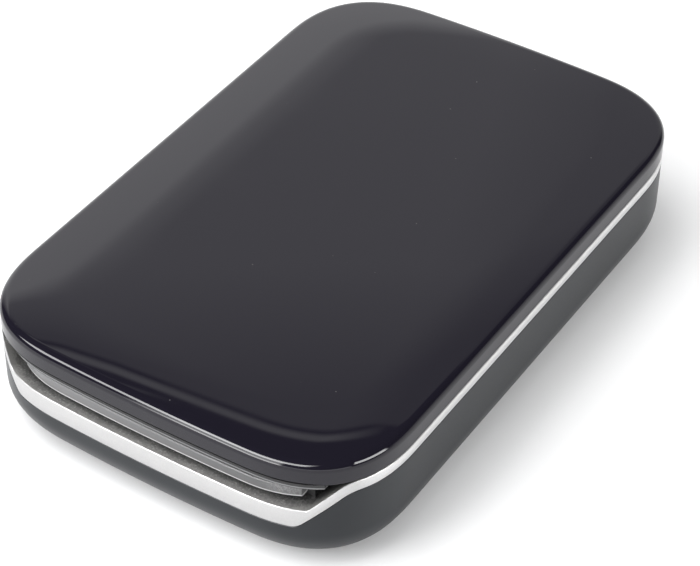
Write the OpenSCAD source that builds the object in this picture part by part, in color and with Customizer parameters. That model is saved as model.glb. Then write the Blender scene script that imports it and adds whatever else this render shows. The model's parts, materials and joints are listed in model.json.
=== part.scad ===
// Compact photo printer: a pocket-size box with a slide-off top cover, a paper tray under it,
// and a roller-fed thermal print engine behind the output slot.
// Frame: origin at the centre of the flat underside, +X right, +Y rear, +Z up,
// with the output slot at the -Y end. Millimetres.

/* [Housing] */
// Room beside the sheet on each side, for the rails, gears and walls
side_room = 12.1; // [11:0.1:14]
// Room for the print engine, from the front face to the tray
engine_room = 32.6; // [30:0.2:36]
// Height of the lower case at the sides
case_h = 16.5; // [16.5:0.25:18.5]
// Height of the bright band at the sides
band_h = 2; // [1.8:0.1:3]
// Joint line between the band and the cover
cover_gap = 0.1; // [0.1:0.05:0.3]
// Height of the top cover
cover_h = 4.4; // [4.4:0.2:6]
// Corner radius seen from above
corner_r = 20; // [16:1:22]
// Squareness of the corners, where 2 is a true circle
corner_p = 2.65; // [2.3:0.05:3]
// How far the two ends bow out in the middle
end_bow = 1.5; // [0.5:0.25:2]
// Rounding along the bottom edge
bottom_r = 7.6; // [5:0.2:8]
// Rounding along the top edge of the cover
cover_r = 1.5; // [1:0.1:2.2]
// Wall of the lower case and of the band
case_wall = 1.6; // [1.2:0.1:1.8]
// Wall of the top cover
cover_wall = 1.3; // [1:0.1:1.5]

/* [Output end] */
// Width of the dip in the band, between its two lower corners
chin_w = 57.4; // [54:0.5:60]
// Sideways run of the slant at each end of the dip
slant_run = 4.9; // [3:0.1:6]
// Height of the bright face under the output slot
chin_h = 3.8; // [3:0.2:5]
// Drop from the paper path to the ledge in front of it
exit_drop = 0.5; // [0.3:0.1:0.8]
// Setback of the exit bar from the front face
bar_setback = 1.4; // [1.4:0.1:2.2]
// Height of the exit bar
bar_h = 2.1; // [1.6:0.1:2.2]
// Thickness of the exit bar
bar_t = 1.6; // [1:0.1:2]
// Setback of the cover's front lip from the front face
lip_setback = 0.8; // [0.6:0.1:1.2]

/* [Paper] */
// Width of a sheet
paper_w = 50.8; // [49:0.2:51]
// Length of a sheet
paper_l = 76.2; // [70:0.2:77]
// Height of the paper path above the underside
paper_z = 13.5; // [13.3:0.1:13.7]
// Play of a sheet in the tray, on each side
sheet_play = 0.6; // [0.3:0.1:0.7]
// Thickness of the tray floor
floor_t = 1.2; // [1:0.1:1.4]
// Inset of the tray's rear wall from the rear end
tray_inset = 6; // [5.5:0.25:7]
// Thickness of the pressure plate
plate_t = 1; // [0.8:0.1:1.2]
// Height from the paper path to the pressure plate at rest
plate_lift = 4.5; // [4.5:0.1:4.7]

/* [Print engine] */
// Radius of the platen roller
platen_r = 4.5; // [4.2:0.1:4.6]
// Radius of the pickup roller
pickup_r = 4.8; // [4.7:0.05:4.9]
// Length of the pickup roller's rubber
pickup_l = 20; // [14:1:22]
// Distance of the platen roller from the front face
platen_setback = 14; // [13.5:0.25:15]
// Radius of the roller shafts
shaft_r = 1.5; // [1.2:0.1:1.6]
// Radial running clearance of shafts and gears
run_fit = 0.05; // [0.02:0.01:0.08]
// Radial clearance of pieces fixed in a hole
seat_fit = 0.02; // [0.01:0.01:0.04]
// Gap between the print head and the platen
head_gap = 0.25; // [0.2:0.05:0.4]
// Thickness of the print head's ceramic
head_t = 1; // [0.8:0.1:1.1]
// Thickness of the aluminium heat sink
sink_t = 1; // [0.8:0.1:1]
// Radius of the head's pivot pin
pivot_r = 0.5; // [0.4:0.05:0.55]
// Radius of the motor
motor_r = 3.1; // [2.6:0.1:3.1]
// Length of the motor
motor_l = 14; // [10:0.5:14]

/* [Gears] */
// Module of the roller train
gear_m = 0.5; // [0.48:0.01:0.5]
// Module of the motor stage
pinion_m = 0.4; // [0.38:0.01:0.4]
// Face width of a gear
gear_b = 2; // [1.6:0.1:2.2]
// Play between meshing teeth
backlash = 0.12; // [0.08:0.01:0.15]
// Radius of the posts that carry the idlers
post_r = 0.8; // [0.6:0.05:0.85]

/* [Electronics] */
// Space left round the battery, front and rear
battery_gap = 4.2; // [2:0.2:10]
// Width of the battery
battery_w = 55; // [40:1:56]
// Thickness of the battery
battery_t = 4.8; // [3.6:0.2:5]
// Height of the board's lower face above the underside
board_z = 8.6; // [8.2:0.1:8.8]
// Thickness of the board
board_t = 1; // [0.8:0.1:1.2]
// Length of the board
board_l = 41; // [36:1:42]
// Width of the power button
button_w = 8; // [6:0.5:9]
// Height of the power button
button_h = 2.4; // [2:0.1:2.4]
// Travel of the power button
button_travel = 0.5; // [0.3:0.1:0.6]

/* [Hidden] */

$fn = 40;
eps = 0.01;
slack = 0.3;               // clearance between pieces that move past each other

// Heights
band_top = case_h + band_h;
cover_z = band_top + cover_gap;
body_h = cover_z + cover_h;
ceiling_z = body_h - cover_wall;
chin_top = paper_z - exit_drop;
chin_low = chin_top - chin_h;
floor_z = paper_z - floor_t;
platen_z = paper_z - platen_r;
bar_z = paper_z + slack;
bar_top = bar_z + bar_h;
lip_z = bar_top + 1.1;
plate_z = paper_z + plate_lift;
head_z = paper_z + head_gap;
sink_z = head_z + head_t;
sink_top = sink_z + sink_t;
board_top = board_z + board_t;
deck_top = band_top - 0.2;

// Plan
body_w = paper_w + 2 * side_room;
body_l = paper_l + 2 * sheet_play + tray_inset + engine_room;
front_y = -body_l / 2;
rear_y = body_l / 2;
half_w = body_w / 2;
tray_w = paper_w + 2 * sheet_play;
tray_rear = rear_y - tray_inset;
tray_front = tray_rear - paper_l - 2 * sheet_play;
platen_y = front_y + platen_setback;
head_l = tray_w;

// Cover rails run in the lanes beside the tray
tray_wall = 1.2;
rail_x = tray_w / 2 + tray_wall + 0.4;
rail_t = 1.2;
rail_foot = 1.6;
rail_foot_t = 0.8;
rail_z = case_h;
rail_end = 44;
ledge_x = rail_x + rail_t + 0.4;
ledge_low = rail_z + rail_foot_t + slack;
deck_inset = case_wall + slack;
deck_y = [platen_y + 4, tray_rear - 8];

// Roller train: platen wheel, idler, drive gear, idler, pickup wheel
teeth_roller = 20;
teeth_idler = 12;
teeth_hub = 16;
teeth_drive = 28;
teeth_pinion = 10;
train_step = 13.5;
drive_y = platen_y + train_step;
pickup_y = drive_y + train_step;
reach_outer = (teeth_roller + teeth_idler) * gear_m / 2;
reach_inner = (teeth_hub + teeth_idler) * gear_m / 2;
idler_dy = (pow(reach_outer, 2) - pow(reach_inner, 2) + pow(train_step, 2)) / (2 * train_step);
idler_z = platen_z - sqrt(pow(reach_outer, 2) - pow(idler_dy, 2));
idler_front_y = platen_y + idler_dy;
idler_rear_y = pickup_y - idler_dy;
motor_y = drive_y + (teeth_drive + teeth_pinion) * pinion_m / 2;

// Stations across the width, from the cheeks outwards
cheek_x = tray_w / 2 + 0.8;
cheek_t = 1.4;
cheek_out = cheek_x + cheek_t;
stage_x = cheek_out + 0.6;
stage_b = 1.2;
train_x = stage_x + stage_b + 0.2;
plate_x = train_x + gear_b + 0.3;
side_plate_t = 0.7;
cheek_low = 3.6;
cheek_end = 4.2;
bush_r = shaft_r + 0.9;

// Print head
pivot_y = platen_y + 7;
pivot_z = sink_z + 0.35;
lug_r = 0.9;
spring_wire = 0.15;
spring_r = pivot_r + 0.1 + spring_wire;
spring_x = tray_w / 2 - 3.2;
spring_l = 2.6;

// Electronics and fixings
board_rear = rear_y - 3;
board_front = board_rear - board_l;
boss_x = half_w - 6.5;
chassis_boss_y = [pickup_y + 13, rear_y - 24];
board_boss_y = [board_front + 4, board_rear - 15];
boss_r = 2.2;
pilot_r = 0.8;
battery_y = [pickup_y + pickup_r + battery_gap, board_rear - battery_gap - 4.8];
processor_size = [17, 15, 1.6];
radio_size = [10, 12, 1.6];
socket_size = [4, 7, 1.4];
port_size = [7.5, 5.5, 2.6];
port_play = 0.4;
button_pos = [16, board_top + 1.6];
light_pos = [8, board_top + 1.6];
light_r = 0.8;
plate_posts = [7, tray_rear - 6];
plate_post_r = 1.2;
coil_spots = [for (x = [-13, 13], y = [-12, 28]) [x, y]];
coil_r = 2;
coil_wire = 0.25;

// Half-length of the outline at distance u from the centre line, moved in by inset
function end_y(u, inset = 0) =
    let (r = corner_r - inset, t = max(0, u - half_w + corner_r) / r)
    body_l / 2 - corner_r + r * pow(max(0, 1 - pow(t, corner_p)), 1 / corner_p)
    - end_bow * pow(u / (half_w - inset), 2);

// Angles round one corner, with one at each end of the band's slant
function slant_angle(u) = acos(pow((u - half_w + corner_r) / corner_r, corner_p / 2));
slant_top_angle = slant_angle(chin_w / 2 + slant_run);
slant_foot_angle = slant_angle(chin_w / 2);
corner_angles = concat(
    [for (i = [0:4]) slant_top_angle * i / 5],
    [for (i = [0:4]) slant_top_angle + (slant_foot_angle - slant_top_angle) * i / 5],
    [for (i = [0:7]) slant_foot_angle + (90 - slant_foot_angle) * i / 7]);
corner_count = len(corner_angles);
end_steps = 6;

// Exit bar: its front face at distance u from the centre line, curling back at its ends
bar_curl = 0.009;
bar_half = cheek_x;
bar_steps = 26;
function bar_y(u) = bar_curl * pow(max(0, u - half_w + corner_r), 2) - end_y(u, bar_setback);

function bowed(x, y, inset) =
    [x, y - sign(y) * end_bow * pow(x / (half_w - inset), 2) * abs(y) / (body_l / 2 - inset)];
function corner_point(a, sx, sy, inset) =
    let (r = corner_r - inset)
    bowed(sx * (half_w - corner_r + r * pow(cos(a), 2 / corner_p)),
        sy * (body_l / 2 - corner_r + r * pow(sin(a), 2 / corner_p)), inset);
function end_points(sy, inset) =
    [for (i = [1:end_steps - 1])
        bowed(sy * (half_w - corner_r) * (1 - 2 * i / end_steps), sy * (body_l / 2 - inset), inset)];
function half_outline(sy, inset) = concat(
    [for (a = corner_angles) corner_point(a, sy, sy, inset)],
    end_points(sy, inset),
    [for (i = [corner_count - 1:-1:0]) corner_point(corner_angles[i], -sy, sy, inset)]);
// Plan of the housing, counter-clockwise, moved in by inset
function outline(inset = 0) = concat(half_outline(1, inset), half_outline(-1, inset));

// Upper and lower edge of the bright band at a point of the plan: level along the front,
// a slant with rounded ends at each corner, and level along the sides
low_corner_shift = 1.5;
low_run = slant_run + 1.9;
slant_round = 0.9;
function soft_ramp(x, r) = x <= -r ? 0 : x >= r ? x : pow(x + r, 2) / (4 * r);
function dip(p, start, run, foot_round) = p.y < 0
    ? 1 - (soft_ramp(abs(p.x) - start, foot_round) - soft_ramp(abs(p.x) - start - run, slant_round)) / run
    : 0;
function band_high(p) = band_top - (band_top - chin_top) * dip(p, chin_w / 2, slant_run, 0.1);
function band_low(p) =
    case_h - (case_h - chin_low) * dip(p, chin_w / 2 - low_corner_shift, low_run, slant_round);

function ring(inset, z) = [for (p = outline(inset)) [p.x, p.y, z]];
function high_ring(inset) = [for (p = outline(inset)) [p.x, p.y, band_high(p)]];
function low_ring(inset) = [for (p = outline(inset)) [p.x, p.y, band_low(p)]];

// Solid through a list of rings: closed by its first and last ring, or joined end to end
module loft(rings, looped = false) {
    n = len(rings[0]);
    m = len(rings);
    sides = [for (k = [0:m - (looped ? 1 : 2)], i = [0:n - 1])
        let (u = (k + 1) % m, j = (i + 1) % n) [k * n + i, u * n + i, u * n + j, k * n + j]];
    caps = looped ? [] : [[for (i = [0:n - 1]) i], [for (i = [n - 1:-1:0]) (m - 1) * n + i]];
    polyhedron([for (r = rings) each r], concat(sides, caps), convexity = 8);
}

// Slab with the plan of the housing
module slab(inset, z0, z1) {
    translate([0, 0, z0]) linear_extrude(z1 - z0) polygon(outline(inset));
}

// Curved strip along the output end, between two insets and within half-width u
module front_strip(inset, t, u, z0, z1) {
    translate([0, 0, z0]) linear_extrude(z1 - z0) intersection() {
        difference() {
            polygon(outline(inset));
            polygon(outline(inset + t));
        }
        translate([-u, front_y]) square([2 * u, corner_r]);
    }
}

// Box between two corners
module box(a, b) {
    translate(a) cube(b - a);
}

// Rod along X from x0 to x1 at a place in the Y-Z plane
module rod_x(x0, x1, y, z, r) {
    translate([x0, y, z]) rotate([0, 90, 0]) cylinder(r = r, h = x1 - x0);
}

// Helical spring along +Z
module coil(r, wire, h, turns) {
    steps = 10;
    sides = 6;
    rise = h - 2 * wire;
    loft([for (k = [0:turns * steps])
        let (a = 360 * k / steps, z = wire + rise * k / (turns * steps))
        [for (s = [0:sides - 1])
            let (b = -360 * s / sides, d = r + wire * cos(b)) [d * cos(a), d * sin(a), z + wire * sin(b)]]]);
}

// Involute gear blank with teeth centred on the angle `turn`, along +Z
function involute(rb, rad) = let (a = acos(min(1, rb / rad))) tan(a) * 180 / PI - a;
function gear_outline(n, m, turn) =
    let (rp = n * m / 2, rb = rp * cos(20), root = rp - 1.25 * m, tip = rp + 0.85 * m,
        half = 90 / n - backlash / rp * 90 / PI + involute(rb, rp),
        radii = [root, max(rb, root + 0.1), rp, (rp + tip) / 2, tip],
        angles = [for (rad = radii) half - involute(rb, max(rad, rb))])
    [for (t = [0:n - 1]) each let (c = turn + 360 * t / n) concat(
        [for (i = [0:4]) radii[i] * [cos(c - angles[i]), sin(c - angles[i])]],
        [for (i = [4:-1:0]) radii[i] * [cos(c + angles[i]), sin(c + angles[i])]])];
module gear(n, m, b, turn, bore) {
    linear_extrude(b) difference() {
        polygon(gear_outline(n, m, turn));
        circle(r = bore);
    }
}
// Turn that puts a gear in mesh with one already placed, in direction `way` from it
function meshed(n1, turn1, n2, way) =
    let (phase = n1 * (way - turn1) / 360) way + 180 - 360 * (0.5 - phase) / n2;
function heading(y0, z0, y1, z1) = atan2(z1 - z0, y1 - y0);
turn_platen = 0;
turn_idler_front = meshed(teeth_roller, turn_platen, teeth_idler,
    heading(platen_y, platen_z, idler_front_y, idler_z));
turn_hub = meshed(teeth_idler, turn_idler_front, teeth_hub,
    heading(idler_front_y, idler_z, drive_y, platen_z));
turn_idler_rear = meshed(teeth_hub, turn_hub, teeth_idler,
    heading(drive_y, platen_z, idler_rear_y, idler_z));
turn_pickup = meshed(teeth_idler, turn_idler_rear, teeth_roller,
    heading(idler_rear_y, idler_z, pickup_y, platen_z));
turn_pinion = meshed(teeth_drive, turn_hub, teeth_pinion, 0);

// Gear standing on the shaft line at (y, z), its face starting at x
module gear_at(x, y, z, n, m, b, turn, bore) {
    translate([x, y, z]) rotate([90, 0, 90]) gear(n, m, b, turn, bore);
}

// ---- Housing ----

module lower_case() {
    inner_r = bottom_r - case_wall;
    arc = [90:-15:0];
    outer = [for (a = arc) ring(bottom_r * (1 - cos(a)), bottom_r * (1 - sin(a)))];
    inner = [for (i = [0:6]) let (a = 15 * i)
        ring(case_wall + inner_r * (1 - cos(a)), bottom_r - inner_r * sin(a))];
    color("#2b2b2e") difference() {
        union() {
            loft(concat(outer, [low_ring(0), low_ring(case_wall)], inner));
            for (s = [-1, 1]) {
                for (y = chassis_boss_y) boss([s * boss_x, y], floor_z);
                for (y = board_boss_y) boss([s * boss_x, y], board_z);
            }
        }
        for (s = [-1, 1]) {
            for (y = chassis_boss_y) pilot([s * boss_x, y], floor_z);
            for (y = board_boss_y) pilot([s * boss_x, y], board_z);
        }
        translate([-port_size.x / 2 - port_play, rear_y - 4, board_top - port_play])
            cube([port_size.x + 2 * port_play, 8, port_size.z + 2 * port_play]);
        rear_opening(button_pos, button_w + 2 * slack, button_h + 2 * slack);
        translate([light_pos.x, rear_y - 4, light_pos.y]) rotate([-90, 0, 0])
            cylinder(r = light_r + seat_fit, h = 8);
    }
}
module boss(at, top) {
    foot = case_wall - 0.2;
    translate([at.x, at.y, foot]) cylinder(r = boss_r, h = top - foot);
}
module pilot(at, top) {
    translate([at.x, at.y, top - 4]) cylinder(r = pilot_r, h = 5);
}
module rear_opening(at, w, h) {
    translate([at.x - w / 2, rear_y - 4, at.y - h / 2]) cube([w, 8, h]);
}

// Bright band with the ledge behind its dip, which rises as a ramp behind each slant
module trim_band() {
    ledge_back = platen_y - (teeth_roller / 2 + 1) * gear_m - 0.6;
    color("#dfe0e2") {
        loft([low_ring(0), high_ring(0), high_ring(case_wall), low_ring(case_wall)], looped = true);
        intersection() {
            slab(case_wall / 2, 0, body_h);
            union() {
                box([-chin_w / 2, front_y, chin_top - ledge_t - eps],
                    [chin_w / 2, ledge_back, chin_top - eps]);
                for (s = [-1, 1]) mirror([s < 0 ? 1 : 0, 0, 0]) ramp();
            }
        }
    }
}
ledge_t = 1;
module ramp() {
    back = platen_y - 3.5;
    run = slant_run - slant_round;
    rise = (band_top - chin_top) * run / slant_run;
    x = chin_w / 2 - eps;
    z = chin_top - eps;
    translate([0, back, 0]) rotate([90, 0, 0]) linear_extrude(back - front_y)
        polygon([[x, z - ledge_t], [x + run, z + rise - ledge_t], [x + run, z + rise], [x, z]]);
}

module top_cover() {
    inner_r = cover_r / 2;
    arc = [for (i = [0:4]) 90 * i / 4];
    under = [for (a = arc) ring(cover_wall + inner_r * (1 - sin(a)), ceiling_z - inner_r * (1 - cos(a)))];
    over = [for (a = arc) ring(cover_r * (1 - cos(a)), body_h - cover_r * (1 - sin(a)))];
    color("#17161b")
        loft(concat(under, [ring(cover_wall, cover_z), ring(0, cover_z)], over));
}

// Inner frame of the cover: rails, front lip and the plate's guide posts
module cover_frame() {
    web = 0.8;
    win = 18;
    rib_inset = cover_wall + slack;
    lip_half = rail_x + 3;
    color("#2a2a2c") {
        difference() {
            slab(cover_wall + 0.8, ceiling_z - web, ceiling_z);
            for (w = [[tray_front + 2, plate_posts[0] - 4], [plate_posts[0] + 4, plate_posts[1] - 4]])
                box([-win, w[0], ceiling_z - web - eps], [win, w[1], ceiling_z + eps]);
        }
        for (s = [-1, 1]) mirror([s < 0 ? 1 : 0, 0, 0]) {
            box([rail_x, -rail_end, rail_z], [rail_x + rail_t, rail_end, ceiling_z - web / 2]);
            box([rail_x, -rail_end, rail_z],
                [rail_x + rail_t + rail_foot, rail_end, rail_z + rail_foot_t]);
        }
        front_strip(rib_inset, 1, lip_half, lip_z, ceiling_z - web / 2);
        front_strip(lip_setback, rib_inset + 1 - lip_setback, lip_half, lip_z, cover_z - 0.2);
        for (y = plate_posts) translate([0, y, plate_z])
            cylinder(r = plate_post_r, h = ceiling_z - web / 2 - plate_z);
    }
}

// Chassis: tray floor and walls, roller cheeks and the decks that the cover's rails run under
module chassis() {
    floor_front = platen_y + platen_r + 0.8;
    color("#39393c") difference() {
        union() {
            intersection() {
                slab(deck_inset, floor_z, paper_z);
                box([-half_w, floor_front, 0], [half_w, tray_rear + tray_wall, body_h]);
            }
            intersection() {
                slab(deck_inset, 0, body_h);
                for (s = [-1, 1]) mirror([s < 0 ? 1 : 0, 0, 0]) chassis_side();
            }
            box([-tray_w / 2 - tray_wall, tray_rear, paper_z - eps],
                [tray_w / 2 + tray_wall, tray_rear + tray_wall, ledge_low]);
        }
        // Window for the pickup roller
        box([-pickup_l / 2 - 1, pickup_y - pickup_r - 0.6, floor_z - 1],
            [pickup_l / 2 + 1, pickup_y + pickup_r + 0.6, paper_z + 1]);
        // Window for the sheet sensor
        box([-2, drive_y - 2, floor_z - 1], [2, drive_y + 2, paper_z + 1]);
        // Well for the gears, on the right
        box([cheek_out, platen_y - 8, floor_z - 1], [half_w, pickup_y + 6.4, paper_z + 3]);
        for (y = [platen_y, pickup_y])
            rod_x(-cheek_out - 1, cheek_out + 1, y, platen_z, bush_r + seat_fit);
        rod_x(-cheek_out - 1, cheek_out + 1, pivot_y, pivot_z, pivot_r + seat_fit);
        for (p = post_places()) rod_x(cheek_x - 1, cheek_out + 1, p.x, p.y, post_r + seat_fit);
        rod_x(cheek_x - 1, cheek_out + 1, motor_y, platen_z, 1.2);
        for (s = [-1, 1], y = chassis_boss_y) translate([s * boss_x, y, floor_z - 1])
            cylinder(r = 1.1, h = floor_t + 2);
    }
}
function post_places() = [[idler_front_y, idler_z], [drive_y, platen_z], [idler_rear_y, idler_z]];

module chassis_side() {
    // Tray wall
    box([tray_w / 2, tray_front, paper_z - eps], [tray_w / 2 + tray_wall, tray_rear + tray_wall, ledge_low]);
    // Roller cheek, its pivot ear and the arm that carries the exit bar
    box([cheek_x, platen_y - cheek_end, cheek_low], [cheek_out, pickup_y + cheek_end, floor_z + eps]);
    box([cheek_x, platen_y - cheek_end, floor_z], [cheek_out, platen_y + platen_r + 1, paper_z]);
    box([cheek_x, pivot_y - 2.2, paper_z - eps], [cheek_out, pivot_y + 2.2, pivot_z + lug_r]);
    box([cheek_x, bar_y(bar_half) + bar_t, paper_z - slack],
        [cheek_out, platen_y - cheek_end + 2, bar_top]);
    seat_x = bar_half * (1 - 1 / bar_steps);
    translate([0, 0, paper_z - slack]) linear_extrude(bar_top - paper_z + slack)
        polygon([[seat_x, bar_y(seat_x) + bar_t], [bar_half, bar_y(bar_half) + bar_t],
            [bar_half + eps, bar_y(bar_half) + bar_t + 2], [seat_x, bar_y(bar_half) + bar_t + 2]]);
    // Deck over the rail
    box([half_w - deck_inset - 1.6, deck_y[0], floor_z], [half_w - deck_inset, deck_y[1], deck_top]);
    box([ledge_x, deck_y[0], ledge_low], [half_w - deck_inset, deck_y[1], deck_top]);
}

module exit_bar() {
    across = [for (i = [-bar_steps:bar_steps]) bar_half * i / bar_steps];
    back = [for (i = [bar_steps:-1:-bar_steps]) bar_half * i / bar_steps];
    color("#8d8e90") translate([0, 0, bar_z]) linear_extrude(bar_h)
        polygon(concat([for (u = across) [u, bar_y(abs(u))]], [for (u = back) [u, bar_y(abs(u)) + bar_t]]));
}

module pressure_plate() {
    x = tray_w / 2 - 0.6;
    rib = 0.6;
    color("#c9cacc") difference() {
        union() {
            box([-x, tray_front + 0.6, plate_z], [x, tray_rear - 0.6, plate_z + plate_t]);
            for (u = [-x + 2, x - 2 - rib])
                box([u, tray_front + 3, plate_z], [u + rib, tray_rear - 3, plate_z + plate_t + rib]);
        }
        for (y = plate_posts) translate([0, y, plate_z - 1]) cylinder(r = plate_post_r + slack, h = 4);
    }
}

module plate_springs() {
    z = plate_z + plate_t;
    color("silver") for (p = coil_spots) translate([p.x, p.y, z]) coil(coil_r, coil_wire, ceiling_z - z, 3);
}

// ---- Rollers and gears ----

module roller_shaft(y) {
    color("#b9bcc0") rod_x(-cheek_out - 0.4, train_x + gear_b, y, platen_z, shaft_r);
}
module roller_rubber(y, r, l) {
    color("#232326") translate([-l / 2, y, platen_z]) rotate([0, 90, 0]) difference() {
        cylinder(r = r, h = l);
        translate([0, 0, -1]) cylinder(r = shaft_r, h = l + 2);
    }
}
module platen_shaft() roller_shaft(platen_y);
module pickup_shaft() roller_shaft(pickup_y);
module platen_rubber() roller_rubber(platen_y, platen_r, tray_w);
module pickup_rubber() roller_rubber(pickup_y, pickup_r, pickup_l);

module train_gear(y, z, n, turn, bore) {
    color("#e8e4d8") gear_at(train_x, y, z, n, gear_m, gear_b, turn, bore);
}
module platen_gear() train_gear(platen_y, platen_z, teeth_roller, turn_platen, shaft_r);
module pickup_gear() train_gear(pickup_y, platen_z, teeth_roller, turn_pickup, shaft_r);
module idler_gear_front() train_gear(idler_front_y, idler_z, teeth_idler, turn_idler_front, post_r + run_fit);
module idler_gear_rear() train_gear(idler_rear_y, idler_z, teeth_idler, turn_idler_rear, post_r + run_fit);
module drive_gear() {
    color("#e8e4d8") {
        gear_at(stage_x, drive_y, platen_z, teeth_drive, pinion_m, stage_b, turn_hub, post_r + run_fit);
        gear_at(stage_x + stage_b, drive_y, platen_z, teeth_hub, gear_m, train_x + gear_b - stage_x - stage_b,
            turn_hub, post_r + run_fit);
    }
}
motor_shaft_r = 0.5;
module motor_shaft() {
    color("#b9bcc0") rod_x(cheek_x - 0.8, stage_x + stage_b + 0.1, motor_y, platen_z, motor_shaft_r);
}
module motor_pinion() {
    color("#c8a24a")
        gear_at(stage_x, motor_y, platen_z, teeth_pinion, pinion_m, stage_b, turn_pinion, motor_shaft_r);
}
module motor() {
    nose = 1.1;
    color("#aeb1b5") difference() {
        union() {
            rod_x(cheek_x - motor_l - 0.2, cheek_x - 0.2, motor_y, platen_z, motor_r);
            rod_x(cheek_x - 0.2, cheek_x + cheek_t / 2, motor_y, platen_z, nose);
        }
        rod_x(cheek_x - 1, cheek_x + cheek_t, motor_y, platen_z, motor_shaft_r + run_fit);
    }
}
module roller_bushes() {
    color("#caa257") for (s = [-1, 1], y = [platen_y, pickup_y])
        translate([s * (cheek_x + cheek_t / 2) - cheek_t / 2, y, platen_z]) rotate([0, 90, 0])
            difference() {
                cylinder(r = bush_r, h = cheek_t);
                translate([0, 0, -1]) cylinder(r = shaft_r + run_fit, h = cheek_t + 2);
            }
}
module gear_posts() {
    color("#b9bcc0") for (p = post_places()) rod_x(cheek_x, plate_x + side_plate_t, p.x, p.y, post_r);
}
module gear_plate() {
    margin = 3;
    color("#c3c6ca") difference() {
        box([plate_x, idler_front_y - margin, cheek_low],
            [plate_x + side_plate_t, idler_rear_y + margin, floor_z - 0.2]);
        for (p = post_places())
            rod_x(plate_x - 1, plate_x + side_plate_t + 1, p.x, p.y, post_r + seat_fit);
    }
}

// ---- Print head ----

module print_head() {
    depth = 7.5;
    color("#e9e6df") box([-head_l / 2, platen_y - 4, head_z], [head_l / 2, platen_y - 4 + depth, sink_z]);
}
module head_sink() {
    front = platen_y - 5.4;
    notch = spring_x - 0.3;
    color("#b4b8bd") difference() {
        union() {
            box([-head_l / 2, front, sink_z], [head_l / 2, pivot_y - lug_r - 0.4, sink_top - 0.1]);
            box([-notch, pivot_y - lug_r - 0.6, sink_z], [notch, pivot_y, sink_top - 0.1]);
            rod_x(-notch, notch, pivot_y, pivot_z, lug_r);
        }
        rod_x(-notch - 1, notch + 1, pivot_y, pivot_z, pivot_r + run_fit);
        // Shallow grooves that let the heat out
        for (i = [0:2])
            box([-head_l / 2 - 1, front + 1.4 + 2.4 * i, sink_top - 0.5],
                [head_l / 2 + 1, front + 2.4 + 2.4 * i, sink_top + 1]);
    }
}
module head_pivot() {
    color("#b9bcc0") rod_x(-cheek_out, cheek_out, pivot_y, pivot_z, pivot_r);
}
module head_springs() {
    leg = 4;
    color("silver") for (s = [-1, 1]) mirror([s < 0 ? 1 : 0, 0, 0]) {
        translate([spring_x, pivot_y, pivot_z]) rotate([0, 90, 0]) rotate([0, 0, 180])
            coil(spring_r, spring_wire, spring_l, 5);
        translate([spring_x + spring_wire, pivot_y - leg, pivot_z + spring_r]) rotate([-90, 0, 0])
            cylinder(r = spring_wire, h = leg, $fn = 16);
    }
}
module sheet_sensor() {
    color("#1f2022") {
        box([-1.7, drive_y - 1.7, floor_z - 1.6], [1.7, drive_y + 1.7, paper_z - 0.4]);
        box([-3.5, drive_y - 2.6, floor_z - 1.6], [3.5, drive_y + 2.6, floor_z]);
    }
}

// ---- Electronics ----

module battery() {
    r = 2;
    color("#b9bbbd") translate([0, 0, case_wall]) linear_extrude(battery_t) hull()
        for (x = [-1, 1] * (battery_w / 2 - r), y = [battery_y[0] + r, battery_y[1] - r])
            translate([x, y]) circle(r = r);
}
module battery_leads() {
    color("#b02a24") for (x = [16, 18.5]) translate([x, board_front + 6, case_wall + battery_t])
        cylinder(r = 0.6, h = board_z - case_wall - battery_t);
}
module main_board() {
    color("#1f5b38") difference() {
        intersection() {
            slab(case_wall + 0.9, board_z, board_top);
            box([-half_w, board_front, 0], [half_w, board_rear, body_h]);
        }
        for (s = [-1, 1]) {
            translate([s * boss_x, chassis_boss_y[1], board_z - 1]) cylinder(r = boss_r + slack, h = 4);
            for (y = board_boss_y) translate([s * boss_x, y, board_z - 1]) cylinder(r = 0.9, h = 4);
        }
    }
}
module shield(at, size) {
    color("#c6c9cc") translate([at.x, at.y, board_top]) cube(size);
}
module processor_shield() shield([-10, board_front + 6], processor_size);
module radio_shield() shield([-24, board_rear - 3 - radio_size.y], radio_size);
module usb_port() {
    wall = 0.35;
    color("#c6c9cc") translate([-port_size.x / 2, rear_y - 0.5 - port_size.y, board_top]) difference() {
        cube(port_size);
        translate([wall, 1.2, wall]) cube([port_size.x - 2 * wall, port_size.y, port_size.z - 2 * wall]);
    }
    color("#1f2022") translate([-2.6, rear_y - 4.6, board_top + 1.5]) cube([5.2, 3.4, 0.5]);
}
// The button's cap has a flange behind the wall, and its stem ends short of the switch
button_flange = 1;
flange_t = 0.8;
flange_y = end_y(button_pos.x + button_w / 2 + button_flange, case_wall) - 0.2;
stem_y = flange_y - flange_t - 0.6;
switch_size = [6, 3, 2.6];
module power_button() {
    low = [button_pos.x, 0, button_pos.y] - [button_w, 0, button_h] / 2;
    color("#3a3a3d") {
        intersection() {
            slab(0.1, 0, body_h);
            box([low.x, flange_y - flange_t, low.z], [low.x + button_w, rear_y, low.z + button_h]);
        }
        box([low.x - button_flange, flange_y - flange_t, low.z],
            [low.x + button_w + button_flange, flange_y, low.z + button_h]);
        box([button_pos.x - 1, stem_y, low.z + 0.4], [button_pos.x + 1, flange_y, low.z + button_h - 0.4]);
    }
}
module power_switch() {
    color("#1f2022") translate([button_pos.x - switch_size.x / 2,
        stem_y - button_travel - 0.1 - switch_size.y, board_top]) cube(switch_size);
}
module ribbon_socket() {
    color("#d8d4c4") translate([-boss_x - socket_size.x / 2, board_front + 7.4, board_top])
        cube(socket_size);
}
ribbon_x = -half_w + case_wall + 2.3;
ribbon_t = 0.2;
ribbon_w = 2.2;
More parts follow.
